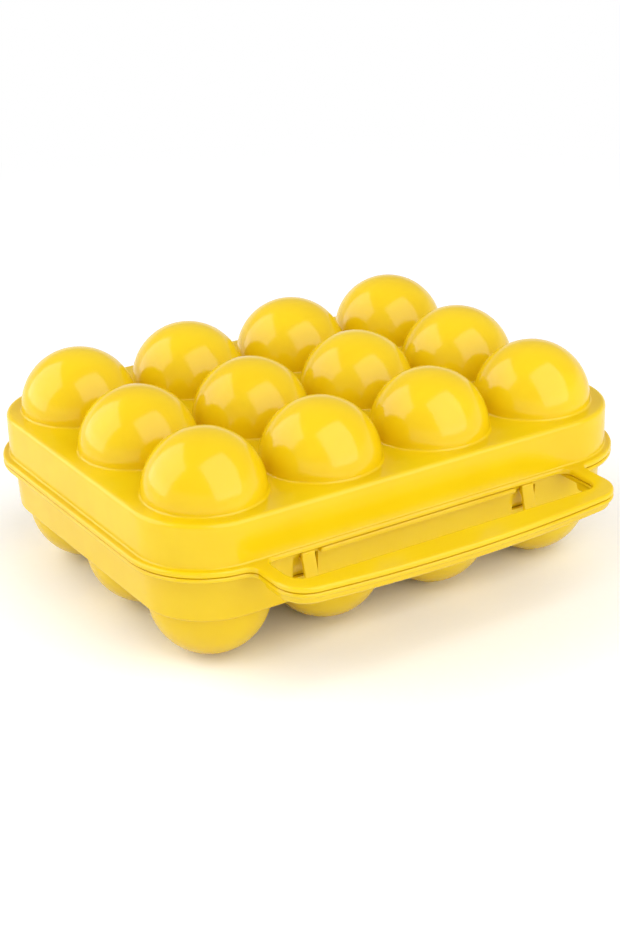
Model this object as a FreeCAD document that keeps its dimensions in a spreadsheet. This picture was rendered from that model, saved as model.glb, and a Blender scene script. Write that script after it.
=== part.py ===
import FreeCAD, Part
import math
import os
import Sketcher

# Egg carrier for twelve eggs: a tray of cups and a lid of domes, hinged at the back,
# with a carry handle at the front that is half lid and half tray.
# Each half is described with its rim at z = 0 and its deck further up, and the tray is
# the same half turned over. The finished part stands with +Z up and its handle towards -Y.

ROWS = 3
COLUMNS = 4
TINY = 1e-5

# Sketch geometry is addressed by number: the origin, and the ends and centre of a curve.
ORIGIN = (-1, 1)
START, END, CENTRE = range(1, 4)

# Driving sizes in millimetres: name, value, what it measures.
SIZES = (
    ("egg_pitch", 46.5, "egg centre to egg centre, both ways"),
    ("dome_gap", 3.3, "clear gap between two neighbouring domes"),
    ("dome_fillet", 0.5, "fillet at the foot of a dome"),
    ("dome_neck", 0.3, "straight neck between foot fillet and hemisphere"),
    ("wall_thickness", 1.4, "wall of every moulded shell"),
    ("edge_land", 0.8, "flat deck outside the outer cups of the tray"),
    ("edge_round", 1.6, "rounding of the deck's outer edge"),
    ("shoulder_land", 0.4, "flat part of the shoulder inside that rounding"),
    ("lid_depth", 18.2, "parting plane to the top of the lid's deck"),
    ("tray_depth", 18.9, "parting plane to the underside of the tray's deck"),
    ("tray_inset", 1.4, "how far the tray's wall stands inside the lid's"),
    ("tray_draft", 1.0, "how far the tray's wall leans in from rim to deck"),
    ("parting_gap", 0.3, "open seam between lid and tray"),
    ("rim_reach", 2.6, "how far the rim stands out from the lid's wall"),
    ("lid_rim", 2.1, "thickness of the lid's rim and handle plate"),
    ("tray_rim", 1.7, "thickness of the tray's rim"),
    ("tray_bar", 4.6, "thickness of the tray's handle plate"),
    ("rim_round", 0.9, "rounding of rim and handle edges"),
    ("foot_radius", 5.0, "radius of the standing pad under a cup"),
    ("foot_height", 0.4, "how far a standing pad stands proud of its cup"),
    ("handle_shoulder", 30.4, "side of the rim to the end of the handle"),
    ("handle_reach", 29.1, "rim edge to the middle of the handle's outer edge"),
    ("handle_bow", 5.3, "how much the handle's outer edge bows forward"),
    ("handle_corner", 11.5, "rounding of the handle's outer corners"),
    ("handle_root", 4.0, "flare where the handle leaves the rim"),
    ("bar_land", 0.4, "flat left between that rounding and the tray's thick handle bar"),
    ("handle_leg", 5.8, "width of the handle at each end of the finger slot"),
    ("handle_grip", 12.0, "width of the handle in front of the finger slot"),
    ("slot_corner", 6.0, "rounding of the finger slot's far corners"),
    ("slot_lip", 0.8, "rim left standing between wall and finger slot"),
    ("latch_width", 5.0, "width of a snap tongue"),
    ("latch_thickness", 1.4, "thickness of a snap tongue"),
    ("latch_drop", 9.0, "length of a snap tongue below its root"),
    ("latch_lean", 2.4, "how far a tongue's tip leans outwards"),
    ("latch_root", 0.9, "radius of the tongue's rounded root"),
    ("latch_bite", 0.7, "how far the hook reaches into the tray's wall"),
    ("latch_nose", 1.8, "height of the hook"),
    ("latch_gap", 0.3, "clearance round a snap tongue"),
    ("window_width", 10.0, "width of the window that takes the hook"),
    ("window_height", 8.0, "height of that window below the rim"),
    ("hinge_eye", 3.2, "outer radius of a hinge eye"),
    ("hinge_clear", 0.6, "clearance between a hinge eye and the rims"),
    ("lug_width", 8.0, "width of the lid's hinge lug"),
    ("ear_width", 3.0, "width of each of the tray's hinge ears"),
    ("ear_gap", 0.3, "side clearance between lug and ear"),
    ("pin_radius", 1.5, "radius of a hinge pin"),
    ("pin_fit", 0.06, "radial clearance of the lug on its pin"),
    ("ear_fit", 0.02, "radial clearance of the pin in its ears"),
)

# Sizes that follow from the driving ones, as expressions on the sheet.
HALF_COLUMNS = f"({(COLUMNS - 1) / 2} * Sizes.egg_pitch)"
HALF_ROWS = f"({(ROWS - 1) / 2} * Sizes.egg_pitch)"
SEAT = "(Sizes.parting_gap / 2)"
DOME_RADIUS = "((Sizes.egg_pitch - Sizes.dome_gap) / 2)"
DOME_INSIDE = f"({DOME_RADIUS} - Sizes.wall_thickness)"
DOME_CENTRE = "(Sizes.dome_fillet + Sizes.dome_neck)"
SHOULDER = "(Sizes.edge_round + Sizes.shoulder_land)"
BAR_INSET = "(Sizes.rim_round + Sizes.bar_land)"

# Margins are distances outside the rectangle through the four corner eggs.
TRAY_DECK_MARGIN = f"({DOME_RADIUS} + Sizes.dome_fillet + Sizes.edge_land + {SHOULDER})"
TRAY_MARGIN = f"({TRAY_DECK_MARGIN} + Sizes.tray_draft)"
LID_MARGIN = f"({TRAY_MARGIN} + Sizes.tray_inset)"
RIM_MARGIN = f"({LID_MARGIN} + Sizes.rim_reach)"
RIM_EDGE = f"({HALF_ROWS} + {RIM_MARGIN})"
SLOT_BACK = f"({HALF_ROWS} + {LID_MARGIN} + Sizes.slot_lip)"
HANDLE_END = f"({HALF_COLUMNS} + {RIM_MARGIN} - Sizes.handle_shoulder)"
HANDLE_BOW = f"(({HANDLE_END} ^ 2 + Sizes.handle_bow ^ 2) / (2 * Sizes.handle_bow))"
HINGE_REACH = "(Sizes.hinge_clear + Sizes.hinge_eye)"
HINGE_AXIS = f"({RIM_EDGE} + {HINGE_REACH})"

# The part's origin lies under the middle of its overall box, on the floor.
SHIFT_Y = f"((Sizes.handle_reach - {HINGE_REACH} - Sizes.hinge_eye) / 2)"
SHIFT_Z = f"(Sizes.tray_depth + {DOME_CENTRE} + {DOME_RADIUS} + Sizes.foot_height)"

LID = {
    "name": "lid",
    "front": -1,
    "turn": 0,
    "depth": "Sizes.lid_depth",
    "margin": LID_MARGIN,
    "deck_margin": LID_MARGIN,
    "rim": "Sizes.lid_rim",
    "bar": "Sizes.lid_rim",
    "slot_back": SLOT_BACK,
}
TRAY = {
    "name": "tray",
    "front": 1,
    "turn": 180,
    "depth": "Sizes.tray_depth",
    "margin": TRAY_MARGIN,
    "deck_margin": TRAY_DECK_MARGIN,
    "rim": "Sizes.tray_rim",
    "bar": "Sizes.tray_bar",
    "slot_back": f"({HALF_ROWS} + {TRAY_MARGIN} - Sizes.wall_thickness)",
}

doc = FreeCAD.newDocument("egg_carrier")
sheet = doc.addObject("Spreadsheet::Sheet", "Sizes")
for row, (alias, value, meaning) in enumerate(SIZES, start=1):
    sheet.set(f"A{row}", meaning)
    sheet.set(f"B{row}", str(value))
    sheet.setAlias(f"B{row}", alias)
doc.recompute()

nodes = []


def size(expression):
    """Value of an expression on the sheet, in millimetres or degrees."""
    value = sheet.evalExpression(expression)
    return float(getattr(value, "Value", value))


def new_body(label, turn=0, x="0", y="0"):
    """A named piece in the part's frame, turned about X, at x and y from the egg grid's centre."""
    body = doc.addObject("PartDesign::Body", label)
    body.Label = label
    body.Placement.Rotation = FreeCAD.Rotation(FreeCAD.Vector(1, 0, 0), turn)
    body.setExpression("Placement.Base.x", x)
    body.setExpression("Placement.Base.y", f"{SHIFT_Y} + {y}")
    body.setExpression("Placement.Base.z", SHIFT_Z)
    nodes.append(body)
    return body


def new_sketch(body, role, height="0"):
    """An empty sketch on one of the body's own planes, raised along the plane's normal."""
    sketch = body.newObject("Sketcher::SketchObject", f"{body.Label}_sketch")
    plane = next(feature for feature in body.Origin.OriginFeatures if feature.Role == role)
    sketch.AttachmentSupport = (plane, [""])
    sketch.MapMode = "FlatFace"
    sketch.setExpression("AttachmentOffset.Base.z", height)
    return sketch


def drive(sketch, kind, *where, expression):
    """Add one dimension to a sketch and bind it to the sheet."""
    number = sketch.addConstraint(Sketcher.Constraint(kind, *where, size(expression)))
    sketch.setExpression(f"Constraints[{number}]", expression)


def draw(sketch, corners):
    """Closed outline through corners given as expressions.

    A corner is (x, y), or (x, y, radius, side) where an arc of that radius runs to the next
    corner with its centre to the left (1) or to the right (-1) of the way there.
    """
    points = [FreeCAD.Vector(size(corner[0]), size(corner[1]), 0) for corner in corners]
    ends = []
    for index, corner in enumerate(corners):
        start = points[index]
        stop = points[(index + 1) % len(points)]
        if len(corner) == 2:
            geometry = sketch.addGeometry(Part.LineSegment(start, stop), False)
            ends.append((geometry, START, END))
            continue
        radius = size(corner[2])
        along = stop - start
        rise = math.sqrt(max(radius ** 2 - (along.Length / 2) ** 2, 0))
        left = FreeCAD.Vector(-along.y, along.x, 0).normalize() * corner[3]
        centre = (start + stop) / 2 + left * rise
        arc = Part.Arc(start, centre - left * radius, stop)
        geometry = sketch.addGeometry(arc, False)
        forward = sketch.getPoint(geometry, START).distanceToPoint(start) < TINY
        ends.append((geometry, START, END) if forward else (geometry, END, START))
    for index, corner in enumerate(corners):
        geometry, first, last = ends[index]
        following, following_first, _ = ends[(index + 1) % len(ends)]
        sketch.addConstraint(Sketcher.Constraint("Coincident", geometry, last, following, following_first))
        drive(sketch, "DistanceX", *ORIGIN, geometry, first, expression=corner[0])
        drive(sketch, "DistanceY", *ORIGIN, geometry, first, expression=corner[1])
        if len(corner) > 2:
            drive(sketch, "Radius", geometry, expression=corner[2])
    return sketch


def draw_circle(sketch, x, y, radius):
    """Circle with its centre and radius given as expressions."""
    centre = FreeCAD.Vector(size(x), size(y), 0)
    circle = Part.Circle(centre, FreeCAD.Vector(0, 0, 1), size(radius))
    geometry = sketch.addGeometry(circle, False)
    drive(sketch, "DistanceX", *ORIGIN, geometry, CENTRE, expression=x)
    drive(sketch, "DistanceY", *ORIGIN, geometry, CENTRE, expression=y)
    drive(sketch, "Radius", geometry, expression=radius)
    return sketch


def draw_rectangle(sketch, x_low, x_high, y_low, y_high):
    """Rectangle between limits given as expressions."""
    return draw(sketch, [(x_low, y_low), (x_high, y_low), (x_high, y_high), (x_low, y_high)])


def draw_outline(sketch, margin):
    """Rounded rectangle that keeps one margin to the rectangle of egg centres."""
    x_flat = HALF_COLUMNS
    y_flat = HALF_ROWS
    x_out = f"({HALF_COLUMNS} + {margin})"
    y_out = f"({HALF_ROWS} + {margin})"
    return draw(sketch, [
        (f"-{x_flat}", f"-{y_out}"),
        (x_flat, f"-{y_out}", margin, 1),
        (x_out, f"-{y_flat}"),
        (x_out, y_flat, margin, 1),
        (x_flat, y_out),
        (f"-{x_flat}", y_out, margin, 1),
        (f"-{x_out}", y_flat),
        (f"-{x_out}", f"-{y_flat}", margin, 1),
    ])


def refresh(body, *features):
    """Bring new features and the body they belong to up to date."""
    for item in (*features, body):
        item.recompute()


def extrude(body, kind, sketch, length=None, back=False, both=False, taper=None):
    """Pad or pocket of a sketch; without a length it is a pocket right through."""
    feature = body.newObject(f"PartDesign::{kind}", f"{body.Label}_{kind.lower()}")
    feature.Profile = sketch
    feature.Reversed = back
    if both:
        feature.SideType = "Symmetric"
    if length is None:
        feature.Type = "ThroughAll"
    else:
        feature.setExpression("Length", length)
    if taper is not None:
        feature.setExpression("TaperAngle", taper)
    refresh(body, sketch, feature)
    return feature


def pad(body, sketch, length, **options):
    """Material grown from a sketch."""
    return extrude(body, "Pad", sketch, length, **options)


def pocket(body, sketch, length=None, **options):
    """Material cut away from a sketch, which has to remove something."""
    before = body.Shape.Volume
    feature = extrude(body, "Pocket", sketch, length, **options)
    if body.Shape.Volume > before - TINY:
        raise RuntimeError(f"{feature.Label} cuts nothing")
    return feature


def revolve(body, sketch):
    """Material turned about the body's Z axis from a sketch in its XZ plane."""
    feature = body.newObject("PartDesign::Revolution", f"{body.Label}_revolution")
    feature.Profile = sketch
    feature.ReferenceAxis = (sketch, ["V_Axis"])
    feature.Angle = 360
    refresh(body, sketch, feature)
    return feature


def round_edges(body, base, radius, chosen):
    """Fillet on the edges of the last feature whose sample points all pass a test."""
    names = []
    for number, edge in enumerate(base.Shape.Edges, start=1):
        first, last = edge.ParameterRange
        points = [edge.valueAt(first + (last - first) * share) for share in (0, 0.5, 1)]
        if all(chosen(point) for point in points):
            names.append(f"Edge{number}")
    feature = body.newObject("PartDesign::Fillet", f"{body.Label}_fillet")
    feature.Base = (base, names)
    feature.setExpression("Radius", radius)
    refresh(body, feature)
    return feature


def near(value, expression):
    """Whether a coordinate lies at the place that an expression gives."""
    return abs(value - size(expression)) < TINY


def signed(sign, expression):
    """Expression with the sign of a side."""
    return expression if sign > 0 else f"-{expression}"


# Skirt: the wall round a half, turned in at the deck to carry the egg cells.
def make_skirt(half):
    body = new_body(f"{half['name']}_skirt", half["turn"])
    height = f"({half['depth']} - {SEAT})"
    lean = f"-atan(({half['margin']} - {half['deck_margin']}) / {height})"
    wall = pad(body, draw_outline(new_sketch(body, "XY_Plane", SEAT), half["margin"]), height, taper=lean)
    round_edges(body, wall, "Sizes.edge_round", lambda point: near(point.z, half["depth"]))
    inner = f"({half['margin']} - Sizes.wall_thickness)"
    hollow = draw_outline(new_sketch(body, "XY_Plane", SEAT), inner)
    pocket(body, hollow, f"{height} - Sizes.wall_thickness", back=True, taper=lean)
    opening = draw_outline(new_sketch(body, "XY_Plane", SEAT), f"({half['deck_margin']} - {SHOULDER})")
    pocket(body, opening, back=True)
    return body


# Window in the tray's front wall, one for each snap hook, right under the rim.
def cut_windows(body):
    top = f"({SEAT} + Sizes.tray_rim)"
    for side in (-1, 1):
        middle = signed(side, "Sizes.egg_pitch")
        window = draw_rectangle(
            new_sketch(body, "XZ_Plane"),
            f"{middle} - Sizes.window_width / 2",
            f"{middle} + Sizes.window_width / 2",
            top,
            f"{top} + Sizes.window_height",
        )
        pocket(body, window)


# Outer edge of the handle from its left end to its right end, some way inside the full outline.
def handle_edge(front, inset):
    corner_x = f"({HANDLE_END} - Sizes.handle_corner)"
    swing = f"({HANDLE_BOW} - Sizes.handle_corner)"
    rise = f"sqrt({swing} ^ 2 - {corner_x} ^ 2)"
    bow_centre = f"{RIM_EDGE} + Sizes.handle_reach - {HANDLE_BOW}"
    share = f"({HANDLE_BOW} - {inset}) / {swing}"
    end = f"({HANDLE_END} - {inset})"
    end_y = signed(front, f"({bow_centre} + {rise})")
    meet_x = f"({corner_x} * {share})"
    meet_y = signed(front, f"({bow_centre} + {rise} * {share})")
    corner = f"(Sizes.handle_corner - {inset})"
    return [
        (f"-{end}", end_y, corner, -front),
        (f"-{meet_x}", meet_y, f"({HANDLE_BOW} - {inset})", -front),
        (meet_x, meet_y, corner, -front),
        (end, end_y),
    ]


# Rim: the flat flange round a half, drawn out at the front into one plate of the handle.
def make_rim(half):
    front = half["front"]
    body = new_body(f"{half['name']}_rim", half["turn"])

    def ahead(expression):
        return signed(front, f"({expression})")

    past_corner = f"({HANDLE_END} + Sizes.handle_root - {HALF_COLUMNS})"
    if size(past_corner) > 0:
        swing = f"({RIM_MARGIN} + Sizes.handle_root)"
        flare_rise = f"sqrt({swing} ^ 2 - {past_corner} ^ 2)"
        meet_x = f"({HALF_COLUMNS} + {past_corner} * {RIM_MARGIN} / {swing})"
        meet_y = ahead(f"{HALF_ROWS} + {flare_rise} * {RIM_MARGIN} / {swing}")
        clear = ahead(f"{HALF_ROWS} + {flare_rise}")
        left_meet = [(f"-{meet_x}", meet_y, "Sizes.handle_root", front)]
        right_meet = [(meet_x, meet_y, RIM_MARGIN, -front)]
    else:
        meet_x = f"({HANDLE_END} + Sizes.handle_root)"
        meet_y = ahead(RIM_EDGE)
        clear = ahead(f"{RIM_EDGE} + Sizes.handle_root")
        left_meet = [(f"-{HALF_COLUMNS}", meet_y), (f"-{meet_x}", meet_y, "Sizes.handle_root", front)]
        right_meet = [(meet_x, meet_y), (HALF_COLUMNS, meet_y, RIM_MARGIN, -front)]
    side = f"({HALF_COLUMNS} + {RIM_MARGIN})"
    plate = draw(new_sketch(body, "XY_Plane", SEAT), [
        (f"-{side}", ahead(HALF_ROWS), RIM_MARGIN, -front),
        *left_meet,
        (f"-{HANDLE_END}", clear),
        *handle_edge(front, "0"),
        (HANDLE_END, clear, "Sizes.handle_root", front),
        *right_meet,
        (side, ahead(HALF_ROWS)),
        (side, ahead(f"-{HALF_ROWS}"), RIM_MARGIN, -front),
        (HALF_COLUMNS, ahead(f"-{RIM_EDGE}")),
        (f"-{HALF_COLUMNS}", ahead(f"-{RIM_EDGE}"), RIM_MARGIN, -front),
        (f"-{side}", ahead(f"-{HALF_ROWS}")),
    ])
    whole = pad(body, plate, half["rim"])
    round_edges(body, whole, "Sizes.rim_round", lambda point: near(point.z, f"{SEAT} + {half['rim']}"))
    if half["bar"] != half["rim"]:
        bar_end = f"({HANDLE_END} - {BAR_INSET})"
        bar = draw(new_sketch(body, "XY_Plane", SEAT), [
            (f"-{bar_end}", clear),
            *handle_edge(front, BAR_INSET),
            (bar_end, clear),
        ])
        pad(body, bar, half["bar"])
    pocket(body, draw_outline(new_sketch(body, "XY_Plane", SEAT), half["margin"]), back=True)
    slot_end = f"({HANDLE_END} - Sizes.handle_leg)"
    slot_front = f"({RIM_EDGE} + Sizes.handle_reach - Sizes.handle_grip)"
    slot = draw_rectangle(
        new_sketch(body, "XY_Plane", SEAT),
        f"-{slot_end}",
        slot_end,
        ahead(half["slot_back"]),
        ahead(slot_front),
    )
    whole = pocket(body, slot, back=True)
    round_edges(
        body, whole, "Sizes.slot_corner",
        lambda point: near(abs(point.x), slot_end) and near(abs(point.y), slot_front),
    )
    return body


# Lip along the back of the tray's finger slot, between the two snap tongues.
def make_slot_lip(label):
    body = new_body(label, TRAY["turn"])
    end = "(Sizes.egg_pitch - Sizes.window_width / 2)"
    strip = draw_rectangle(
        new_sketch(body, "XY_Plane", SEAT), f"-{end}", end, f"{HALF_ROWS} + {TRAY_MARGIN}", SLOT_BACK
    )
    pad(body, strip, TRAY["rim"])
    return body


# Egg cell: a panel of the deck with one hemisphere on it, a dome in the lid and a cup in the tray.
def make_cell(half, label, row, column):
    x = f"{column - (COLUMNS - 1) / 2} * Sizes.egg_pitch"
    y = f"{row - (ROWS - 1) / 2} * Sizes.egg_pitch"
    body = new_body(label, half["turn"], x, y)
    front_row = row == 0
    back_row = row == ROWS - 1
    low_edge, high_edge = (front_row, back_row) if half is LID else (back_row, front_row)
    on_edge = {
        (-1, "x"): column == 0,
        (1, "x"): column == COLUMNS - 1,
        (-1, "y"): low_edge,
        (1, "y"): high_edge,
    }
    outer = f"({half['deck_margin']} - {SHOULDER})"
    shared = "(Sizes.egg_pitch / 2)"
    corners = []
    for x_sign, y_sign in ((-1, -1), (1, -1), (1, 1), (-1, 1)):
        x_side = outer if on_edge[x_sign, "x"] else shared
        y_side = outer if on_edge[y_sign, "y"] else shared
        on_x = (signed(x_sign, x_side), "0")
        on_y = ("0", signed(y_sign, y_side))
        if not (on_edge[x_sign, "x"] and on_edge[y_sign, "y"]):
            corners.append((on_x[0], on_y[1]))
        elif x_sign == y_sign:
            corners.append((*on_x, outer, 1))
            corners.append(on_y)
        else:
            corners.append((*on_y, outer, 1))
            corners.append(on_x)
    underside = f"({half['depth']} - Sizes.wall_thickness)"
    pad(body, draw(new_sketch(body, "XY_Plane", underside), corners), "Sizes.wall_thickness")
    hole = draw_circle(new_sketch(body, "XY_Plane", underside), "0", "0", DOME_INSIDE)
    pocket(body, hole, back=True)
    ring = f"({DOME_RADIUS} + Sizes.dome_fillet)"
    middle = f"({half['depth']} + {DOME_CENTRE})"
    shell = draw(new_sketch(body, "XZ_Plane"), [
        (DOME_INSIDE, underside),
        (ring, underside),
        (ring, half["depth"], "Sizes.dome_fillet", -1),
        (DOME_RADIUS, f"{half['depth']} + Sizes.dome_fillet"),
        (DOME_RADIUS, middle, DOME_RADIUS, 1),
        ("0", f"{middle} + {DOME_RADIUS}"),
        ("0", f"{middle} + {DOME_INSIDE}", DOME_INSIDE, -1),
        (DOME_INSIDE, middle),
    ])
    revolve(body, shell)
    return body


# Standing pad under a cup, grown out of the middle of the cup's wall.
def add_foot(body, half):
    middle = f"({half['depth']} + {DOME_CENTRE})"
    within = f"({DOME_RADIUS} - Sizes.wall_thickness / 2)"
    sole = f"{middle} + {DOME_RADIUS} + Sizes.foot_height"
    foot = draw(new_sketch(body, "XZ_Plane"), [
        ("Sizes.foot_radius", f"{middle} + sqrt({within} ^ 2 - Sizes.foot_radius ^ 2)"),
        ("Sizes.foot_radius", sole),
        ("0", sole),
        ("0", f"{middle} + {within}", within, -1),
    ])
    revolve(body, foot)


# Snap tongue: hangs from the lid's wall in the finger slot, with a hook for the tray's window.
def make_latch(label, side):
    x = signed(side, "Sizes.egg_pitch")
    body = new_body(label, 0, x)
    root_y = f"-({HALF_ROWS} + {TRAY_MARGIN} + Sizes.latch_gap + Sizes.latch_root)"
    root_z = f"({SEAT} - Sizes.latch_gap / 2 - Sizes.latch_root)"
    pad(body, draw_circle(new_sketch(body, "YZ_Plane"), root_y, root_z, "Sizes.latch_root"),
        "Sizes.latch_width", both=True)
    half_thick = "(Sizes.latch_thickness / 2)"
    hook_top = f"({root_z} + {SEAT} + Sizes.tray_rim + Sizes.latch_gap)"
    hook_foot = f"({hook_top} + Sizes.latch_nose)"
    reach = "(Sizes.latch_root + Sizes.latch_gap + Sizes.latch_bite)"

    def place(out, down):
        return (f"{root_y} - ({out})", f"{root_z} - ({down})")

    def lean_at(down):
        return f"Sizes.latch_lean * {down} / Sizes.latch_drop"

    tongue = draw(new_sketch(body, "YZ_Plane"), [
        place(half_thick, "0"),
        place(f"-{half_thick}", "0"),
        place(f"{lean_at(hook_top)} - {half_thick}", hook_top),
        place(f"-{reach}", hook_top),
        place(f"{lean_at(hook_foot)} - {half_thick}", hook_foot),
        place(f"Sizes.latch_lean - {half_thick}", "Sizes.latch_drop"),
        place(f"Sizes.latch_lean + {half_thick}", "Sizes.latch_drop"),
    ])
    pad(body, tongue, "Sizes.latch_width", both=True)
    return body


# Hinge eye on an arm from the back of a rim, bored for the pin.
def make_eye(half, label, x, width, fit):
    body = new_body(label, half["turn"], x)
    back = -half["front"]
    axis_y = signed(back, HINGE_AXIS)
    pad(body, draw_circle(new_sketch(body, "YZ_Plane"), axis_y, "0", "Sizes.hinge_eye"), width, both=True)
    arm = draw_rectangle(
        new_sketch(body, "YZ_Plane"), signed(back, RIM_EDGE), axis_y,
        SEAT, f"{SEAT} + {half['rim']} - Sizes.rim_round",
    )
    pad(body, arm, width, both=True)
    bore = draw_circle(new_sketch(body, "YZ_Plane"), axis_y, "0", f"Sizes.pin_radius + {fit}")
    pocket(body, bore, width, both=True)
    return body


# Hinge pin, held in the tray's two ears.
def make_pin(label, x):
    body = new_body(label, 0, x)
    length = "Sizes.lug_width + 2 * Sizes.ear_gap + 2 * Sizes.ear_width"
    rod = draw_circle(new_sketch(body, "YZ_Plane"), HINGE_AXIS, "0", "Sizes.pin_radius")
    pad(body, rod, length, both=True)
    return body


make_skirt(LID)
make_rim(LID)
cut_windows(make_skirt(TRAY))
make_rim(TRAY)
make_slot_lip("tray_slot_lip")
for row in range(ROWS):
    for column in range(COLUMNS):
        make_cell(LID, f"lid_dome_r{row + 1}c{column + 1}", row, column)
        add_foot(make_cell(TRAY, f"tray_cup_r{row + 1}c{column + 1}", row, column), TRAY)
for name, side in (("left", -1), ("right", 1)):
    make_latch(f"latch_{name}", side)
    hinge_x = signed(side, "Sizes.egg_pitch")
    ear_offset = "(Sizes.lug_width / 2 + Sizes.ear_gap + Sizes.ear_width / 2)"
    make_eye(LID, f"lid_hinge_lug_{name}", hinge_x, "Sizes.lug_width", "Sizes.pin_fit")
    for letter, end in (("a", -1), ("b", 1)):
        ear_x = f"{hinge_x} + {signed(end, ear_offset)}"
        make_eye(TRAY, f"tray_hinge_ear_{name}_{letter}", ear_x, "Sizes.ear_width", "Sizes.ear_fit")
    make_pin(f"hinge_pin_{name}", hinge_x)
doc.recompute()

failed = [item.Label for item in doc.Objects if "Invalid" in item.State or "Error" in item.State]
if failed:
    raise RuntimeError(f"failed features: {failed}")
for node in nodes:
    if node.Shape.isNull() or not node.Shape.isValid() or len(node.Shape.Solids) != 1:
        raise RuntimeError(f"{node.Label} is not one valid solid")

os.makedirs("parts", exist_ok=True)
for node in nodes:
    node.Shape.exportStep(f"parts/{node.Label}.step")
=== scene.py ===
import math

import bmesh
import bpy
from mathutils import Matrix, Vector


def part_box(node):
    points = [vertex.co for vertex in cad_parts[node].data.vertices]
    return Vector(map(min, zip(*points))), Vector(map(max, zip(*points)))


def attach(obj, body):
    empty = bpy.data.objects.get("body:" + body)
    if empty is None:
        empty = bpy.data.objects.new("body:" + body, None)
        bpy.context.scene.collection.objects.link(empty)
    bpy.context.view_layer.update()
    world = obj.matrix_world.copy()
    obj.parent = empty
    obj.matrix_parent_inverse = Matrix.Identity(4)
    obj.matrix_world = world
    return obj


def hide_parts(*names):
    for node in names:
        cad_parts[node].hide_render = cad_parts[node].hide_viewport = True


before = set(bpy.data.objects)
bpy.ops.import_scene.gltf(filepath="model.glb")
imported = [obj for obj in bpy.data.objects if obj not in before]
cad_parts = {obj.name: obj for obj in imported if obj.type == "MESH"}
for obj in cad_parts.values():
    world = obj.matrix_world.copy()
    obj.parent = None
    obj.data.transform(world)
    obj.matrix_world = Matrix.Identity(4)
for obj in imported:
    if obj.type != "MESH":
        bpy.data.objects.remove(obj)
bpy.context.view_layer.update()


# Plastic of the carrier: glossy polypropylene, dyed a warm yellow in the melt and injection
# moulded, so the colour goes right through. The steel mould leaves a fine ripple, and use adds
# hair scratches, a few dull spots and scuffed soles where the tray stands.
class Wire:
    """Output of a shader node. Arithmetic on it adds Math nodes to the same material."""

    def __init__(self, tree, socket=None):
        self.tree = tree
        self.socket = socket

    def add(self, kind, settings, inputs, output=0):
        """A new node, with its settings made first and its sockets set or linked; gives one output."""
        node = self.tree.nodes.new(kind)
        for name, value in settings.items():
            setattr(node, name, value)
        for name, value in inputs.items():
            if isinstance(value, Wire):
                self.tree.links.new(value.socket, node.inputs[name])
            else:
                node.inputs[name].default_value = value
        return Wire(self.tree, node.outputs[output])

    def maths(self, operation, *values):
        return self.add("ShaderNodeMath", {"operation": operation}, dict(enumerate(values)))

    def __add__(self, other):
        return self.maths("ADD", self, other)

    def __radd__(self, other):
        return self.maths("ADD", other, self)

    def __sub__(self, other):
        return self.maths("SUBTRACT", self, other)

    def __rsub__(self, other):
        return self.maths("SUBTRACT", other, self)

    def __mul__(self, other):
        return self.maths("MULTIPLY", self, other)

    def __rmul__(self, other):
        return self.maths("MULTIPLY", other, self)

    def ramp(self, low, high):
        """0 up to low, 1 from high, and a soft rise between them."""
        inputs = {"Value": self, "From Min": low, "From Max": high}
        return self.add("ShaderNodeMapRange", {"interpolation_type": "SMOOTHSTEP"}, inputs)

    def mixed(self, first, second):
        """Colour between two others, by this value."""
        inputs = {"Factor": self, "A": first, "B": second}
        return self.add("ShaderNodeMix", {"data_type": "RGBA"}, inputs, "Result")

    def noise(self, scale, detail):
        """Noise at this position, with so many grains to the metre."""
        inputs = {"Vector": self, "Scale": scale, "Detail": detail}
        return self.add("ShaderNodeTexNoise", {}, inputs, "Fac")

    def stretched(self, turn, stretch):
        """This position turned and squeezed, for patterns that run in lines."""
        return self.add("ShaderNodeMapping", {}, {"Vector": self, "Rotation": turn, "Scale": stretch})


MM = 0.001
YELLOW_DEEP = (0.885, 0.615, 0.003, 1.0)
YELLOW_LIGHT = (0.915, 0.660, 0.006, 1.0)
YELLOW_RUBBED = (0.930, 0.700, 0.080, 1.0)
YELLOW_GLOW = (0.950, 0.640, 0.003, 1.0)
SHINES_THROUGH = 0.2
REFRACTION = 1.49
RELIEF = 0.012 * MM
RUBBED_HEIGHT = 0.9 * MM
NO_SOLE = -1.0
TRAY_SOLE = 0.15 * MM


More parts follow.
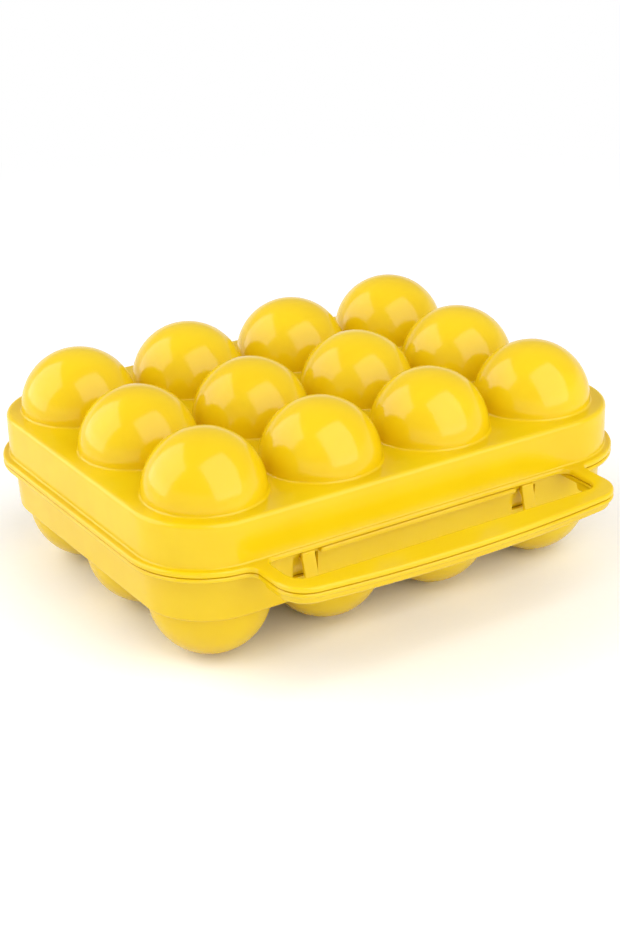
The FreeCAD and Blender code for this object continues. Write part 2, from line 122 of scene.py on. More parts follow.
def moulded_yellow(name, sole):
    """Glossy yellow plastic; surfaces lower than sole are rubbed dull by what they stand on."""
    material = bpy.data.materials.new(name)
    material.use_nodes = True
    tree = material.node_tree
    shader = tree.nodes["Principled BSDF"]
    place = Wire(tree).add("ShaderNodeTexCoord", {}, {}, "Object")
    height = place.add("ShaderNodeSeparateXYZ", {}, {"Vector": place}, "Z")

    pigment = place.noise(34, 3.0)
    flow = place.stretched((0.0, 0.0, 0.5), (14.0, 70.0, 40.0)).noise(1.6, 4.0)
    hair_one = place.stretched((0.3, 0.2, 0.7), (22.0, 1500.0, 260.0)).noise(1.0, 3.0).ramp(0.66, 0.72)
    hair_two = place.stretched((0.1, 0.6, -0.9), (26.0, 1300.0, 240.0)).noise(1.0, 3.0).ramp(0.67, 0.73)
    patches = place.noise(46, 2.0).ramp(0.42, 0.66)
    hairs = (hair_one + hair_two) * patches
    standing = 1.0 - height.ramp(sole, sole + RUBBED_HEIGHT)
    rubbed = standing * place.noise(900, 4.0).ramp(0.30, 0.62)

    dye = (0.55 * pigment + 0.45 * flow).ramp(0.36, 0.64).mixed(YELLOW_DEEP, YELLOW_LIGHT)
    colour = (0.65 * rubbed).mixed(dye, YELLOW_RUBBED)
    tree.links.new(colour.socket, shader.inputs["Base Color"])
    dull = 0.14 + 0.035 * place.noise(60, 3.0) + 0.05 * hairs + 0.32 * rubbed
    tree.links.new(dull.socket, shader.inputs["Roughness"])
    ripple = place.noise(260, 1.0) + 0.35 * place.noise(1400, 2.0) - 0.5 * hairs - 1.2 * rubbed
    bump = {"Height": ripple, "Strength": 0.35, "Distance": RELIEF}
    relief = ripple.add("ShaderNodeBump", {}, bump, "Normal")
    tree.links.new(relief.socket, shader.inputs["Normal"])
    shader.inputs["IOR"].default_value = REFRACTION

    solid = Wire(tree, shader.outputs["BSDF"])
    glow = solid.add("ShaderNodeBsdfTranslucent", {}, {"Color": YELLOW_GLOW})
    both = solid.add("ShaderNodeMixShader", {}, {"Fac": SHINES_THROUGH, 1: solid, 2: glow})
    tree.links.new(both.socket, tree.nodes["Material Output"].inputs["Surface"])
    return material


LID_FINISH = ("lid_plastic", moulded_yellow("yellow_lid", NO_SOLE))
TRAY_FINISH = ("tray_plastic", moulded_yellow("yellow_tray", TRAY_SOLE))


# Wall of the lid: stands straight up from the rim and turns in over a rounded edge to the deck.
# It is one shell of even thickness, with a small fillet where it springs from the rim.
def only(kind, items):
    return [item for item in items if isinstance(item, kind)]


def with_points(edges):
    """Edges and their end points, as the bmesh operators take them."""
    return list(dict.fromkeys(vert for edge in edges for vert in edge.verts)) + edges


class Pen:
    """Draws a chain of edges from point to point, along straight runs and arcs."""

    def __init__(self, bm, start, axis):
        self.bm = bm
        self.axis = axis
        self.known = set(bm.edges)
        self.first = self.last = bm.verts.new(start)

    def line(self, to):
        self.last = bmesh.ops.extrude_vert_indiv(self.bm, verts=[self.last])["verts"][0]
        self.last.co = to

    def arc(self, centre, degrees, steps):
        angle = math.radians(degrees)
        spun = bmesh.ops.spin(
            self.bm, geom=[self.last], cent=centre, axis=self.axis, angle=angle, steps=steps
        )
        self.last = only(bmesh.types.BMVert, spun["geom_last"])[0]

    def edges(self):
        return [edge for edge in self.bm.edges if edge not in self.known]

    def closed(self):
        """The edges, once the end has been joined to the start."""
        if (self.last.co - self.first.co).length < JOIN:
            self.first.co = self.last.co
            bmesh.ops.pointmerge(self.bm, verts=[self.first, self.last], merge_co=self.last.co)
        else:
            self.bm.edges.new((self.last, self.first))
        return self.edges()


JOIN = 0.001 * MM
PITCH = 46.5 * MM
HALF_X = 1.5 * PITCH
HALF_Y = PITCH
WALL = 1.4 * MM
QUARTER = 24
SOFT = 6
UP = Vector((0, 0, 1))
ALONG_X = Vector((1, 0, 0))
ALONG_Y = Vector((0, 1, 0))
lid_low, lid_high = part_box("lid_skirt")
GRID_Y = (lid_low.y + lid_high.y) / 2
LID_SEAM = lid_low.z
LID_DECK = lid_high.z
LID_MARGIN = lid_high.x - HALF_X
rim_low, rim_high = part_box("lid_rim")
LID_FLANGE = rim_high.z - rim_low.z
LID_FACE = LID_SEAM + LID_FLANGE
SHOULDER = 2.0 * MM
EDGE_ROUND = 1.6 * MM
INNER_ROUND = 0.6 * MM
FILLET = 0.7 * MM
FILLET_SUNK = 0.05 * MM
CREASE = math.radians(38)
CORNERS = (
    Vector((HALF_X, GRID_Y - HALF_Y, 0)),
    Vector((HALF_X, GRID_Y + HALF_Y, 0)),
    Vector((-HALF_X, GRID_Y + HALF_Y, 0)),
    Vector((-HALF_X, GRID_Y - HALF_Y, 0)),
)


def carry_round_eggs(bm, edges):
    """Carry a profile, drawn in front of the first corner egg, once round all the eggs."""
    ring = with_points(edges)
    for index, corner in enumerate(CORNERS):
        ring = bmesh.ops.spin(
            bm, geom=ring, cent=corner, axis=UP, angle=math.pi / 2, steps=QUARTER
        )["geom_last"]
        made = bmesh.ops.extrude_edge_only(bm, edges=only(bmesh.types.BMEdge, ring))["geom"]
        moved = only(bmesh.types.BMVert, made)
        bmesh.ops.translate(bm, verts=moved, vec=CORNERS[(index + 1) % len(CORNERS)] - corner)
        fresh = set(moved)
        ring = moved + [edge for edge in only(bmesh.types.BMEdge, made) if fresh.issuperset(edge.verts)]
    bmesh.ops.remove_doubles(bm, verts=bm.verts, dist=JOIN)


def in_front(margin, height):
    """Point at one margin in front of the first corner egg."""
    return Vector((HALF_X, GRID_Y - HALF_Y - margin, height))


def as_object(bm, name, material):
    mesh = bpy.data.meshes.new(name)
    bm.to_mesh(mesh)
    bm.free()
    mesh.materials.append(material)
    made = bpy.data.objects.new(name, mesh)
    bpy.context.scene.collection.objects.link(made)
    return made


def placed(bm, name, body, finish, *nodes):
    """The finished piece: its mesh, plastic, body and the solids that it stands for."""
    bmesh.ops.recalc_face_normals(bm, faces=bm.faces)
    slot, material = finish
    piece = as_object(bm, name, material)
    piece.data.shade_smooth()
    piece.data.set_sharp_from_angle(angle=CREASE)
    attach(piece, body)
    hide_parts(*nodes)


wall = bmesh.new()
pen = Pen(wall, in_front(LID_MARGIN, LID_SEAM), ALONG_X)
pen.line(in_front(LID_MARGIN, LID_FACE - FILLET_SUNK))
pen.line(in_front(LID_MARGIN + FILLET, LID_FACE - FILLET_SUNK))
pen.line(in_front(LID_MARGIN + FILLET, LID_FACE))
pen.arc(in_front(LID_MARGIN + FILLET, LID_FACE + FILLET), 90, SOFT)
pen.line(in_front(LID_MARGIN, LID_DECK - EDGE_ROUND))
pen.arc(in_front(LID_MARGIN - EDGE_ROUND, LID_DECK - EDGE_ROUND), -90, SOFT)
pen.line(in_front(LID_MARGIN - SHOULDER, LID_DECK))
pen.line(in_front(LID_MARGIN - SHOULDER, LID_DECK - WALL))
pen.line(in_front(LID_MARGIN - WALL - INNER_ROUND, LID_DECK - WALL))
pen.arc(in_front(LID_MARGIN - WALL - INNER_ROUND, LID_DECK - WALL - INNER_ROUND), 90, SOFT)
pen.line(in_front(LID_MARGIN - WALL, LID_SEAM))
carry_round_eggs(wall, pen.closed())
placed(wall, "lid_wall", "lid", LID_FINISH, "lid_skirt")


# Domes of the lid: one over each egg, a hemisphere lifted off the deck by the fillet at its foot.
# Each comes with its panel of the deck, and the panels run on into each other and into the wall.
ROWS = 3
COLUMNS = 4
DOME = 21.6 * MM
FOOT = 0.8 * MM
FOOT_RING = DOME + FOOT
MOUTH = 0.6 * MM
LAND = 0.25 * MM
ROUND = 4 * QUARTER
ARCH = 28


def cell_names():
    """Row, column and short name of each egg's cell."""
    for row in range(ROWS):
        for column in range(COLUMNS):
            yield row, column, f"r{row + 1}c{column + 1}"


def turned(bm, edges, centre, axis, steps):
    """Turn a profile once round an axis."""
    geom = with_points(edges)
    bmesh.ops.spin(bm, geom=geom, cent=centre, axis=axis, angle=2 * math.pi, steps=steps, use_merge=True)
    bmesh.ops.remove_doubles(bm, verts=bm.verts, dist=JOIN)


def egg_at(row, column):
    return Vector(((column - (COLUMNS - 1) / 2) * PITCH, GRID_Y + (row - (ROWS - 1) / 2) * PITCH, 0))


def border_point(egg, index, edge, sides):
    """Point of a cell's border: straight where it meets a neighbour, round the egg at a corner."""
    quarter, step = divmod(index, QUARTER)
    x_sign, y_sign = ((1, 1), (-1, 1), (-1, -1), (1, -1))[quarter]
    if quarter % 2:
        step = QUARTER - step
    x_out = edge if (x_sign, 0) in sides else PITCH / 2
    y_out = edge if (0, y_sign) in sides else PITCH / 2
    if (x_sign, 0) in sides and (0, y_sign) in sides:
        angle = math.pi / 2 * step / QUARTER
        spot = Vector((math.cos(angle), math.sin(angle), 0)) * edge
    elif 2 * step <= QUARTER:
        spot = Vector((x_out, y_out * 2 * step / QUARTER, 0))
    else:
        spot = Vector((x_out * 2 * (QUARTER - step) / QUARTER, y_out, 0))
    return egg + Vector((x_sign * spot.x, y_sign * spot.y, 0))


def widened(bm, egg, edges, place):
    """Extrude a ring of edges round an egg and put each new point where place says."""
    made = bmesh.ops.extrude_edge_only(bm, edges=edges)["geom"]
    fresh = only(bmesh.types.BMVert, made)
    for vert in fresh:
        arm = vert.co - egg
        index = round(math.atan2(arm.y, arm.x) / (2 * math.pi) * ROUND) % ROUND
        vert.co = Vector((*place(index).xy, vert.co.z))
    kept = set(fresh)
    return [edge for edge in only(bmesh.types.BMEdge, made) if kept.issuperset(edge.verts)]


def cell(row, column, edge, shells):
    """Cell of one egg: each shell's profile spun round the egg, and a panel out to the border."""
    egg = egg_at(row, column)
    sides = set()
    if column in (0, COLUMNS - 1):
        sides.add((1 if column else -1, 0))
    if row in (0, ROWS - 1):
        sides.add((0, 1 if row else -1))
    bm = bmesh.new()
    borders = []
    for draw in shells:
        edges, ring_radius, level = draw(bm, egg)
        turned(bm, edges, egg, UP, ROUND)

        def on_ring(vert):
            away = (vert.co - egg).xy.length - ring_radius
            return abs(vert.co.z - level) < JOIN and abs(away) < JOIN

        ring = [item for item in bm.edges if len(item.link_faces) == 1 and all(map(on_ring, item.verts))]

        def on_land(index):
            angle = 2 * math.pi * index / ROUND
            return egg + Vector((math.cos(angle), math.sin(angle), 0)) * (ring_radius + LAND)

        ring = widened(bm, egg, ring, on_land)
        borders += widened(bm, egg, ring, lambda index: border_point(egg, index, edge, sides))
    bmesh.ops.bridge_loops(bm, edges=borders)
    return bm


def beside(egg, out, height):
    """Point so far beside an egg's axis."""
    return egg + Vector((out, 0, height))


def draw_hollow(bm, egg, deck, up):
    """The inside of a dome, or with up -1 of a cup, from the deck's inner face to the pole."""
    radius = DOME - WALL
    ring = radius + MOUTH
    level = deck - up * WALL
    middle = deck + up * FOOT
    pen = Pen(bm, beside(egg, ring, level), ALONG_Y)
    pen.arc(beside(egg, ring, level + up * MOUTH), up * 90, SOFT)
    pen.line(beside(egg, radius, middle))
    pen.arc(beside(egg, 0, middle), up * -90, ARCH)
    return pen.edges(), ring, level


def dome_outside(bm, egg):
    pen = Pen(bm, beside(egg, FOOT_RING, LID_DECK), ALONG_Y)
    pen.arc(beside(egg, FOOT_RING, LID_DECK + FOOT), 90, SOFT)
    pen.arc(beside(egg, 0, LID_DECK + FOOT), -90, ARCH)
    return pen.edges(), FOOT_RING, LID_DECK


def dome_inside(bm, egg):
    return draw_hollow(bm, egg, LID_DECK, 1)


for row, column, spot in cell_names():
    dome = cell(row, column, LID_MARGIN - SHOULDER, (dome_outside, dome_inside))
    placed(dome, f"dome_{spot}", "lid", LID_FINISH, f"lid_dome_{spot}")


# Rim of the lid: a flat flange round the wall, drawn out in front into the upper plate of the
# handle, with the finger slot cut through it. All its edges are rounded, as moulded edges are.
RIM_MARGIN = rim_high.x - HALF_X
HANDLE_SHOULDER = 30.4 * MM
HANDLE_END = HALF_X + RIM_MARGIN - HANDLE_SHOULDER
HANDLE_REACH = GRID_Y - HALF_Y - RIM_MARGIN - rim_low.y
HANDLE_BOW = 5.3 * MM
HANDLE_CORNER = 11.5 * MM
HANDLE_ROOT = 4.0 * MM
HANDLE_LEG = 5.8 * MM
HANDLE_GRIP = 12.0 * MM
SLOT_LIP = 0.8 * MM
SLOT_CORNER = 6.0 * MM
SLOT_BACK_CORNER = 4.0 * MM
RIM_ROUND = 0.9 * MM
GRIP_ROUND = 1.2 * MM
SEAM_ROUND = 0.4 * MM
NEARLY_FLAT = math.radians(86)
RIM_EDGE = HALF_Y + RIM_MARGIN
BOW_RADIUS = (HANDLE_END ** 2 + HANDLE_BOW ** 2) / (2 * HANDLE_BOW)
BOW_CENTRE = RIM_EDGE + HANDLE_REACH - BOW_RADIUS
CORNER_X = HANDLE_END - HANDLE_CORNER
CORNER_RISE = math.sqrt((BOW_RADIUS - HANDLE_CORNER) ** 2 - CORNER_X ** 2)
BOW_TURN = math.degrees(math.atan2(CORNER_X, CORNER_RISE))
FLARE_X = HANDLE_END + HANDLE_ROOT
FLARE_RISE = math.sqrt((RIM_MARGIN + HANDLE_ROOT) ** 2 - (FLARE_X - HALF_X) ** 2)
FLARE_TURN = math.degrees(math.atan2(FLARE_RISE, FLARE_X - HALF_X))
SLOT_END = HANDLE_END - HANDLE_LEG
SLOT_BACK = HALF_Y + LID_MARGIN + SLOT_LIP
SLOT_FAR = RIM_EDGE + HANDLE_REACH - HANDLE_GRIP
FLARE_STEPS = 10
SLOT_STEPS = 12
HANDLE_STEPS = 16
BOW_STEPS = 40


def ahead(x, forward, height):
    """Point at x beside and so far in front of the middle of the eggs."""
    return Vector((x, GRID_Y - forward, height))


def draw_handle_edge(pen, inset, height, way):
    """The handle's outer edge, from its left end to its right with way 1, and back with way -1."""
    forward = BOW_CENTRE + CORNER_RISE
    turn = way * (90 - BOW_TURN)
    pen.line(ahead(way * (inset - HANDLE_END), forward, height))
    pen.arc(ahead(way * -CORNER_X, forward, height), turn, HANDLE_STEPS)
    pen.arc(ahead(0, BOW_CENTRE, height), way * 2 * BOW_TURN, BOW_STEPS)
    pen.arc(ahead(way * CORNER_X, forward, height), turn, HANDLE_STEPS)


def rim_loop(bm, inset, height):
    """Outline of rim and handle, so far inside the full one."""
    side = HALF_X + RIM_MARGIN - inset
    pen = Pen(bm, ahead(-side, -HALF_Y, height), UP)
    pen.line(ahead(-side, HALF_Y, height))
    pen.arc(ahead(-HALF_X, HALF_Y, height), FLARE_TURN, QUARTER)
    pen.arc(ahead(-FLARE_X, HALF_Y + FLARE_RISE, height), -FLARE_TURN, FLARE_STEPS)
    draw_handle_edge(pen, inset, height, 1)
    pen.line(ahead(HANDLE_END - inset, HALF_Y + FLARE_RISE, height))
    pen.arc(ahead(FLARE_X, HALF_Y + FLARE_RISE, height), -FLARE_TURN, FLARE_STEPS)
    pen.arc(ahead(HALF_X, HALF_Y, height), FLARE_TURN, QUARTER)
    pen.line(ahead(side, -HALF_Y, height))
    pen.arc(ahead(HALF_X, -HALF_Y, height), 90, QUARTER)
    pen.line(ahead(-HALF_X, -RIM_EDGE + inset, height))
    pen.arc(ahead(-HALF_X, -HALF_Y, height), 90, QUARTER)
    return pen.closed()


def draw_slot(pen, grow, back, height):
    """The finger slot's ends and far side, so much larger than at its narrowest."""
    end = SLOT_END + grow
    far = SLOT_FAR + grow
    corner = SLOT_CORNER + grow
    pen.line(ahead(-end, far - corner, height))
    pen.arc(ahead(-end + corner, far - corner, height), 90, SLOT_STEPS)
    pen.line(ahead(end - corner, far, height))
    pen.arc(ahead(end - corner, far - corner, height), 90, SLOT_STEPS)
    pen.line(ahead(end, back, height))


def slot_loop(bm, grow, height):
    """Outline of the finger slot in the lid's plate, round at its back corners too."""
    back = SLOT_BACK - min(grow, SLOT_LIP / 2)
    corner = SLOT_BACK_CORNER + grow
    beyond = back + corner
    inward = SLOT_END + grow - corner
    pen = Pen(bm, ahead(inward, back, height), UP)
    pen.line(ahead(-inward, back, height))
    pen.arc(ahead(-inward, beyond, height), 90, SLOT_STEPS)
    draw_slot(pen, grow, beyond, height)
    pen.arc(ahead(inward, beyond, height), 90, SLOT_STEPS)
    return pen.closed()


def draw_round_eggs(pen, height):
    """The way from in front of the first corner egg round to in front of the last one."""
    for index, corner in enumerate(CORNERS):
        if index:
            pen.line(pen.last.co + corner - CORNERS[index - 1])
        pen.arc(corner + height * UP, 90, QUARTER)


def margin_loop(bm, margin, height):
    """Outline at one margin round all the eggs."""
    pen = Pen(bm, in_front(margin, height), UP)
    draw_round_eggs(pen, height)
    return pen.closed()


def skinned(bm, loops):
    for one, other in zip(loops, loops[1:]):
        bmesh.ops.bridge_loops(bm, edges=one + other)


def quarter_steps(radius, steps):
    """Pairs of how far a rounded edge has come in and how far it still is from its face."""
    for step in range(1, steps + 1):
        angle = NEARLY_FLAT * step / steps
        yield radius * (1 - math.cos(angle)), radius * (1 - math.sin(angle))


def rounded_side(bm, loop, seam, face, soft):
    """Side of a plate, from a small round at its seam to a softer one at its face."""
    up = 1 if face > seam else -1
    loops = [loop(bm, SEAM_ROUND, seam), loop(bm, 0, seam + up * SEAM_ROUND)]
    loops.append(loop(bm, 0, face - up * soft))
    loops += [loop(bm, come, face - up * left) for come, left in quarter_steps(soft, SOFT)]
    loops.append(loop(bm, soft + LAND, face))
    return loops


def plate(bm, *sides, normal=UP):
    """Skin the sides of a plate, then its two faces."""
    for loops in sides:
        skinned(bm, loops)
    for end in (0, -1):
        edges = [edge for loops in sides for edge in loops[end]]
        bmesh.ops.triangle_fill(bm, edges=edges, use_beauty=True, use_dissolve=False, normal=normal)


rim = bmesh.new()
plate(
    rim,
    rounded_side(rim, rim_loop, LID_SEAM, LID_FACE, RIM_ROUND),
    rounded_side(rim, slot_loop, LID_SEAM, LID_FACE, GRIP_ROUND),
    [margin_loop(rim, LID_MARGIN, height) for height in (LID_SEAM, LID_FACE)],
)
placed(rim, "lid_flange", "lid", LID_FINISH, "lid_rim")


# Wall of the tray: as the lid's, turned over, but set in a little and leaning in towards its deck.
# In front it has two windows, right under the rim, for the hooks of the snap tongues. A thin pocket
# closes each from behind, so that nothing gets in to the eggs.
tray_low, tray_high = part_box("tray_skirt")
TRAY_SEAM = tray_high.z
TRAY_DECK = tray_low.z
TRAY_MARGIN = tray_high.x - HALF_X
TRAY_DRAFT = 1.0 * MM
TRAY_DECK_MARGIN = TRAY_MARGIN - TRAY_DRAFT
TRAY_FLANGE = 1.7 * MM
TRAY_FACE = TRAY_SEAM - TRAY_FLANGE
WINDOW_WIDTH = 10.0 * MM
WINDOW_HEIGHT = 8.0 * MM
WINDOW_FOOT = TRAY_FACE - WINDOW_HEIGHT
POCKET = 1.8 * MM
POCKET_WALL = 0.8 * MM
FRONT_WALL = GRID_Y - HALF_Y - TRAY_DECK_MARGIN + 2 * WALL
FACING = 0.9

wall = bmesh.new()
pen = Pen(wall, in_front(TRAY_MARGIN, TRAY_SEAM), ALONG_X)
pen.line(in_front(TRAY_DECK_MARGIN, TRAY_DECK + EDGE_ROUND))
pen.arc(in_front(TRAY_DECK_MARGIN - EDGE_ROUND, TRAY_DECK + EDGE_ROUND), 90, SOFT)
pen.line(in_front(TRAY_DECK_MARGIN - SHOULDER, TRAY_DECK))
pen.line(in_front(TRAY_DECK_MARGIN - SHOULDER, TRAY_DECK + WALL))
pen.line(in_front(TRAY_DECK_MARGIN - WALL - INNER_ROUND, TRAY_DECK + WALL))
pen.arc(in_front(TRAY_DECK_MARGIN - WALL - INNER_ROUND, TRAY_DECK + WALL + INNER_ROUND), -90, SOFT)
pen.line(in_front(TRAY_MARGIN - WALL, TRAY_SEAM))
carry_round_eggs(wall, pen.closed())


def in_front_wall(face):
    return face.calc_center_median().y < FRONT_WALL and abs(face.normal.y) > FACING


def in_window(face, side):
    middle = face.calc_center_median()
    return abs(middle.x - side * PITCH) < WINDOW_WIDTH / 2 and WINDOW_FOOT < middle.z < TRAY_FACE


bmesh.ops.recalc_face_normals(wall, faces=wall.faces)
cuts = [(Vector((0, 0, height)), UP) for height in (TRAY_FACE, WINDOW_FOOT)]
for side in (-1, 1):
    for half in (-1, 1):
        cuts.append((Vector((side * PITCH + half * WINDOW_WIDTH / 2, 0, 0)), ALONG_X))
for point, normal in cuts:
    faces = [face for face in wall.faces if in_front_wall(face)]
    geom = dict.fromkeys(item for face in faces for item in (face, *face.edges, *face.verts))
    bmesh.ops.bisect_plane(wall, geom=list(geom), dist=JOIN, plane_co=point, plane_no=normal)
for side in (-1, 1):
    for outward, depth in ((-1, POCKET), (1, POCKET + POCKET_WALL - WALL)):
        panes = [face for face in wall.faces if in_front_wall(face) and in_window(face, side)]
        pane = [face for face in panes if face.normal.y * outward > 0]
        made = bmesh.ops.extrude_face_region(wall, geom=pane)["geom"]
        bmesh.ops.translate(wall, verts=only(bmesh.types.BMVert, made), vec=depth * ALONG_Y)
        bmesh.ops.delete(wall, geom=pane, context="FACES_ONLY")
placed(wall, "tray_wall", "tray", TRAY_FINISH, "tray_skirt")


# Cups of the tray: one under each egg, the dome's shape turned over. Each ends in a small flat
# pad, moulded with it, on which the carrier stands.
PAD = 5.0 * MM
PAD_DROP = 0.4 * MM
PAD_ROUND = 0.3 * MM


def cup_outside(bm, egg):
    middle = TRAY_DECK - FOOT
    sole = middle - DOME - PAD_DROP
    to_pad = math.degrees(math.acos((PAD + PAD_ROUND) / DOME))
    pen = Pen(bm, beside(egg, FOOT_RING, TRAY_DECK), ALONG_Y)
    pen.arc(beside(egg, FOOT_RING, middle), -90, SOFT)
    pen.arc(beside(egg, 0, middle), to_pad, ARCH)
    pen.line(beside(egg, PAD, sole + 2 * PAD_ROUND))
    pen.line(beside(egg, PAD, sole + PAD_ROUND))
    pen.arc(beside(egg, PAD - PAD_ROUND, sole + PAD_ROUND), 90, SOFT)
    pen.line(beside(egg, 0, sole))
    return pen.edges(), FOOT_RING, TRAY_DECK


def cup_inside(bm, egg):
    return draw_hollow(bm, egg, TRAY_DECK, -1)


for row, column, spot in cell_names():
    cup = cell(row, column, TRAY_DECK_MARGIN - SHOULDER, (cup_outside, cup_inside))
    placed(cup, f"cup_{spot}", "tray", TRAY_FINISH, f"tray_cup_{spot}")


# Rim of the tray: the flange that meets the lid's, drawn out into the lower plate of the handle.
# The plate is deepened into a bar that slants in below, so that the hand finds a rounded grip.
BAR_TOP = 0.9 * MM
BAR_DEPTH = 4.6 * MM
BAR_SLANT = 1.3 * MM
BAR_ROUND = 1.7 * MM
BAR_ROOT = HALF_Y + FLARE_RISE
TRAY_FRONT = HALF_Y + TRAY_MARGIN


def tray_opening_loop(bm, grow, height):
    """Outline of the tray's opening, which runs on into the finger slot in front."""
    pen = Pen(bm, ahead(-SLOT_END - grow, TRAY_FRONT, height), UP)
    draw_slot(pen, grow, TRAY_FRONT, height)
    pen.line(in_front(TRAY_MARGIN, height))
    draw_round_eggs(pen, height)
    return pen.closed()


def bar_loop(bm, inset, grow, height):
    """Outline of the bar: the handle's edge outside, and the finger slot inside it."""
    root = BAR_ROOT + inset
    pen = Pen(bm, ahead(-SLOT_END - grow, root, height), UP)
    draw_slot(pen, grow, root, height)
    pen.line(ahead(HANDLE_END - inset, root, height))
    draw_handle_edge(pen, inset, height, -1)
    pen.line(ahead(inset - HANDLE_END, root, height))
    return pen.closed()


rim = bmesh.new()
plate(
    rim,
    rounded_side(rim, rim_loop, TRAY_SEAM, TRAY_FACE, RIM_ROUND),
    rounded_side(rim, tray_opening_loop, TRAY_SEAM, TRAY_FACE, SEAM_ROUND),
)
bar_under = TRAY_SEAM - BAR_DEPTH
bar = [bar_loop(rim, SEAM_ROUND, 0, TRAY_SEAM - BAR_TOP)]
bar.append(bar_loop(rim, BAR_SLANT, 0, bar_under + BAR_ROUND))
for come, left in quarter_steps(BAR_ROUND, SOFT):
    bar.append(bar_loop(rim, BAR_SLANT + come, come, bar_under + left))
bar.append(bar_loop(rim, BAR_SLANT + BAR_ROUND + LAND, BAR_ROUND + LAND, bar_under))
plate(rim, bar)
placed(rim, "tray_flange", "tray", TRAY_FINISH, "tray_rim")


# Lip behind the finger slot: a short strip of the tray's rim that stays between the two tongues and
# stiffens the top of the wall. Its free edge is rounded like the rest of the rim.
LIP_END = PITCH - WINDOW_WIDTH / 2
LIP_ROUND = 0.4 * MM


def lip_loop(bm, inset, height):
    end = LIP_END - inset
    out = SLOT_BACK - inset
    corner = 2 * LIP_ROUND
    pen = Pen(bm, ahead(-end, TRAY_FRONT, height), UP)
    pen.line(ahead(-end, out - corner, height))
    pen.arc(ahead(-end + corner, out - corner, height), 90, SOFT)
    pen.line(ahead(end - corner, out, height))
    pen.arc(ahead(end - corner, out - corner, height), 90, SOFT)
    pen.line(ahead(end, TRAY_FRONT, height))
    return pen.closed()


lip = bmesh.new()
plate(lip, rounded_side(lip, lip_loop, TRAY_SEAM, TRAY_FACE, LIP_ROUND))
placed(lip, "slot_lip", "tray", TRAY_FINISH, "tray_slot_lip")


# Snap tongues: two springy strips moulded onto the lid, which hang in the finger slot. Each has a hook
# that catches under the top of a window in the tray's wall, and its tip leans out for a finger.
TONGUE_WIDTH = 5.0 * MM
TONGUE_HALF = 0.7 * MM
TONGUE_ROOT = 0.9 * MM
TONGUE_DROP = 9.0 * MM
TONGUE_LEAN = 2.4 * MM
HOOK_TOP = 1.25 * MM
HOOK_FOOT = 3.05 * MM
HOOK_REACH = 1.9 * MM
TONGUE_SOFT = 0.18 * MM
TONGUE_GAP = 0.3 * MM
TONGUE_CORNER = math.radians(30)


def tongue(side):
    """Outline of one tongue from the side, carried across its width."""
    low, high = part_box(f"latch_{side}")
    root = Vector((low.x, GRID_Y - TRAY_FRONT - TONGUE_GAP - TONGUE_ROOT, high.z - TONGUE_ROOT))

    def spot(out, down):
        return root + Vector((0, -out, -down))

    def leant(off, down):
        return spot(TONGUE_LEAN * down / TONGUE_DROP + off, down)

    bm = bmesh.new()
    pen = Pen(bm, spot(TONGUE_ROOT, 0), ALONG_X)
    pen.arc(root, -180, 2 * SOFT)
    pen.line(leant(-TONGUE_HALF, TONGUE_ROOT))
    pen.line(leant(-TONGUE_HALF, HOOK_TOP))
    pen.line(spot(-HOOK_REACH, HOOK_TOP))
    pen.line(leant(-TONGUE_HALF, HOOK_FOOT))
    pen.line(leant(-TONGUE_HALF, TONGUE_DROP))
    pen.line(leant(TONGUE_HALF, TONGUE_DROP))
    pen.line(leant(TONGUE_HALF, TONGUE_ROOT))
    flank = bmesh.ops.contextual_create(bm, geom=pen.closed())["faces"]
    made = bmesh.ops.extrude_face_region(bm, geom=flank, use_keep_orig=True)["geom"]
    bmesh.ops.translate(bm, verts=only(bmesh.types.BMVert, made), vec=TONGUE_WIDTH * ALONG_X)
    bmesh.ops.recalc_face_normals(bm, faces=bm.faces)
    corners = [edge for edge in bm.edges if edge.calc_face_angle(0.0) > TONGUE_CORNER]
    bmesh.ops.bevel(
        bm, geom=corners, affect="EDGES", offset=TONGUE_SOFT, segments=3, profile=0.5, material=-1,
        clamp_overlap=True,
    )
    return bm


for side in ("left", "right"):
    placed(tongue(side), f"tongue_{side}", f"latch_{side}", LID_FINISH, f"latch_{side}")


# Hinge eyes: rolled ends of short arms at the back, one wide lug on the lid between two narrow ears on
# the tray. They are moulded with the rims and bored for the pins.
EYE = 3.2 * MM
EYE_SOFT = 0.25 * MM
LUG_BORE = 1.56 * MM
EAR_BORE = 1.52 * MM
ARM_NEAR = 0.15 * MM
RIM_TO_AXIS = 3.8 * MM
HINGE_Y = GRID_Y + RIM_EDGE + RIM_TO_AXIS
PARTING = (LID_SEAM + TRAY_SEAM) / 2
LID_ARM = LID_FLANGE - RIM_ROUND + ARM_NEAR
TRAY_ARM = TRAY_FLANGE - RIM_ROUND + ARM_NEAR


def eye_loop(bm, x, inset, up, arm_far):
    """Outline of an eye with its arm; up tells an arm of the lid from one of the tray."""
    axis = Vector((x, HINGE_Y, PARTING))
    radius = EYE - inset
    near = ARM_NEAR + inset
    far = arm_far - inset
    first = math.asin(far / radius)
    last = math.asin(near / radius)
    pen = Pen(bm, axis + Vector((0, -RIM_TO_AXIS, up * near)), ALONG_X)
    pen.line(axis + Vector((0, -RIM_TO_AXIS, up * far)))
    pen.line(axis + Vector((0, -radius * math.cos(first), up * far)))
    pen.arc(axis, -up * (360 - math.degrees(first - last)), 3 * QUARTER)
    return pen.closed()


def bore_loop(bm, x, radius):
    axis = Vector((x, HINGE_Y, PARTING))
    pen = Pen(bm, axis + Vector((0, -radius, 0)), ALONG_X)
    pen.arc(axis, 360, 2 * QUARTER)
    return pen.closed()


